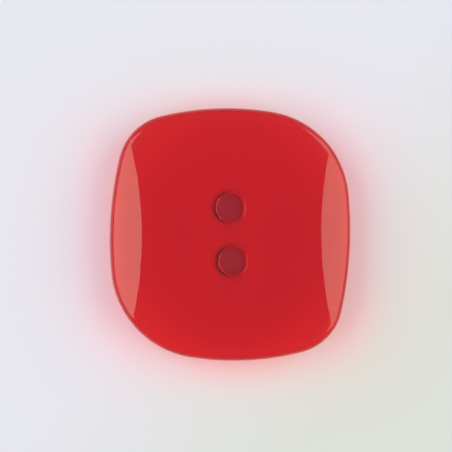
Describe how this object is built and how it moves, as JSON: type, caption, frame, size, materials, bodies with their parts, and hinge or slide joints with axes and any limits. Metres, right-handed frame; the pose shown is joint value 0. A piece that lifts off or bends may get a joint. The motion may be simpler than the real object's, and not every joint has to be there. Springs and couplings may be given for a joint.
{
  "type": "sewing button",
  "caption": "Cushion-shaped sewing button of clear red resin, with a shallow domed face, a flat ground facet along each side, rounded edges and through holes for the thread.",
  "frame": {"origin": "centre of the outline on the flat back, midway between the thread holes", "axes": "+Z out of the domed face, +Y along the two facets, +X across them; seen from the face with +Y up, the upper thread hole is turned 2.4 degrees to the left of +Y, and the tight corners are at the upper left and lower right"},
  "size_m": [0.022, 0.023, 0.0045],
  "materials": {
    "red_resin": "clear red cast resin, tumbled to a soft polish, with light coming through it"
  },
  "bodies": {
    "root": {"button": "red_resin"}
  },
  "joints": []
}
